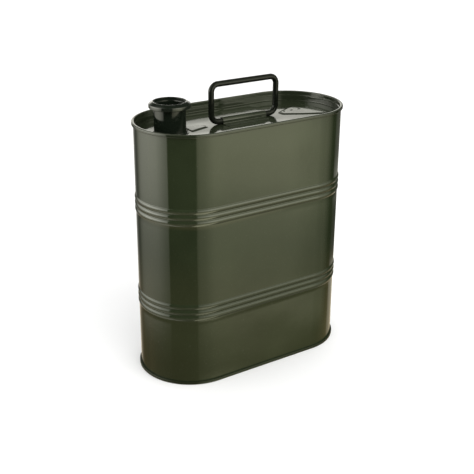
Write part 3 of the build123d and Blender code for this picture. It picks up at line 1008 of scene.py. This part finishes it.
# The zones of the dome. Each has stops of (azimuth, brightness), stops of (elevation, share of that
# brightness) and a tint. Azimuth 0 is +X and 90 is +Y, the back of the can; angles are in degrees.
AROUND_START = -120
AROUND_END = 240
ALL_ROUND = [(AROUND_START, 1), (AROUND_END, 1)]
STRIP_HEIGHTS = [(-90, 0), (-14, 0), (-8, 0.3), (-1, 1.0), (16, 1.0), (26, 0.35), (60, 0.2), (75, 0),
                 (90, 0)]
# The soft box on the left, as the wall of the left end mirrors it, and its upper part for beads and rims.
SIDE_BOX = (
    [(-120, 0), (98, 0), (107, 0.16), (117, 0.45), (127, 0.7), (137, 0.9), (148, 1.12), (158, 1.25),
     (168, 1.28), (178, 1.05), (189, 0.72), (193.5, 0.62), (194.5, 0), (240, 0)],
    [(-90, 0.8), (-36, 0.8), (-32, 0.2), (-30.5, 0.06), (-29, 0.08), (-28, 0.2), (-26.8, 0.5), (-25.6, 1.1),
     (-24, 1.24), (-22, 1.14), (-19.5, 1.24), (-18, 1.55), (-17, 1.85), (-14, 2.3), (-8, 1.5), (90, 0)],
    (1.0, 1.0, 0.84))
SIDE_STRIP = (
    [(-120, 0), (98, 0), (107, 0.8), (127, 2.6), (148, 5.2), (168, 5.2), (189, 2.8), (193.5, 2.2),
     (194.5, 0), (240, 0)],
    STRIP_HEIGHTS,
    (1.0, 1.0, 0.9))
# The soft box in front, as the front wall mirrors it, its foot low on that wall, and its upper part.
FRONT_BOX = (
    [(-120, 0), (-107, 0), (-104.5, 0.46), (-99, 0.64), (-88, 0.75), (-78, 0.95), (-68, 1.1), (-57, 1.1),
     (-52, 1.15), (-50.8, 0.74), (-40, 0.54), (-30, 0.42), (-20, 0.18), (-10, 0), (240, 0)],
    [(-90, 0), (-27.5, 0), (-26.5, 0.75), (-25.6, 1.3), (-24.6, 1.38), (-22, 1.12), (-18.7, 1.18),
     (-17.3, 1.42), (-16, 1.7), (-13, 1.9), (-8, 1.2), (90, 0)],
    (1.0, 1.0, 0.68))
FRONT_FOOT = (
    [(-120, 0), (-107, 0), (-104.5, 0.4), (-88, 0.7), (-70, 0.9), (-58.5, 0.9), (-56, 0.7), (-52, 0.18),
     (-50, 0.08), (-40, 0), (240, 0)],
    [(-90, 2.2), (-34, 2.2), (-32, 0.9), (-30.8, 0.3), (-29.8, 0.24), (-28.6, 0.55), (-27.5, 0.8),
     (-26.5, 0.45), (-25.6, 0), (90, 0)],
    (1.6, 1.6, 1.08))
FRONT_STRIP = (
    [(-120, 0), (-107, 0), (-104.5, 1.4), (-80, 3.2), (-66, 3.2), (-57, 2.6), (-51, 1.7), (-40, 1.2),
     (-20, 0.4), (-10, 0), (240, 0)],
    STRIP_HEIGHTS,
    (1.0, 1.0, 0.84))
# The white backdrop behind, which the deck mirrors.
BACKDROP = (
    [(-120, 0), (38, 0), (48, 0.55), (54, 0.74), (60, 1.0), (77, 1.0), (88, 0.5), (98, 0.2), (106, 0),
     (240, 0)],
    [(-90, 0.35), (-24, 0.5), (0, 0.6), (10, 2.8), (17, 2.4), (20, 1.3), (22.6, 1.0), (25, 0.62),
     (28, 0.36), (35, 0.25), (50, 0.12), (60, 0.05), (90, 0.03)],
    (1.0, 0.99, 0.9))
# The floor: warm light under the walls, the part beside the can's foot, and a glow at the right end.
FLOOR_BOUNCE = (
    [(-120, 1), (60, 1), (100, 0.45), (125, 0.6), (138, 1), (240, 1)],
    [(-90, 0.15), (-50, 0.2), (-38, 0.7), (-32, 1.0), (-27, 1.0), (-24.5, 0.8), (-21, 0), (90, 0)],
    (0.38, 0.27, 0.12))
FLOOR_NEAR = (
    ALL_ROUND,
    [(-90, 1.0), (-45, 1.0), (-34, 0.5), (-31, 0), (90, 0)],
    (0.46, 0.46, 0.33))
FLOOR_GLOW = (
    [(-120, 0), (2, 0), (6, 0.6), (40, 0.7), (50, 0), (240, 0)],
    [(-90, 0.1), (-30, 0.3), (-28, 0.5), (-23, 1.0), (-22, 0.15), (-18, 0.1), (-16, 0.8), (-14, 0.3),
     (0, 0.1), (90, 0)],
    (1.0, 0.98, 0.85))
ZONES = (SIDE_BOX, SIDE_STRIP, FRONT_BOX, FRONT_FOOT, FRONT_STRIP, BACKDROP, FLOOR_BOUNCE, FLOOR_NEAR,
         FLOOR_GLOW)

KEY_PLACE = Vector((0.3, -2.2, 1.6))      # metres
KEY_AIM = Vector((0, 0, 0.1))
KEY_SIZE = (4.0, 1.2)                     # metres
KEY_POWER = 50.0                          # watts
KEY_COLOUR = (1.0, 0.995, 0.98)


def make_key_light():
    """A wide soft box in front of the can, above the camera."""
    data = bpy.data.lights.new("front_soft_box", "AREA")
    data.shape = "RECTANGLE"
    data.size, data.size_y = KEY_SIZE
    data.energy = KEY_POWER
    data.color = KEY_COLOUR
    lamp = bpy.data.objects.new("front_soft_box", data)
    bpy.context.scene.collection.objects.link(lamp)
    turn = (KEY_PLACE - KEY_AIM).to_track_quat("Z", "Y").to_matrix().to_4x4()
    lamp.matrix_world = Matrix.Translation(KEY_PLACE) @ turn
    lamp.visible_glossy = False
    lamp.visible_camera = False


WORLD_BELOW = (0.34, 0.31, 0.24)
WORLD_ABOVE = (1.25, 1.25, 1.25)


def make_world():
    """White surroundings, warmer and darker below the horizon, not seen in glossy reflections."""
    world = bpy.data.worlds.new("studio")
    world.use_nodes = True
    tree = world.node_tree
    background = tree.nodes["Background"]
    axes = node(tree, "ShaderNodeSeparateXYZ")
    tree.links.new(node(tree, "ShaderNodeTexCoord").outputs["Generated"], axes.inputs[0])
    above = remap(tree, axes.outputs["Z"], -0.2, 0.1, 0.0, 1.0)
    tree.links.new(mix_colours(tree, above, WORLD_BELOW, WORLD_ABOVE), background.inputs["Color"])
    world.cycles_visibility.glossy = False
    bpy.context.scene.world = world
    view = bpy.context.scene.view_settings
    view.view_transform = "Standard"
    view.look = "None"


make_camera()
make_floor()
make_reflection_dome()
make_key_light()
make_world()
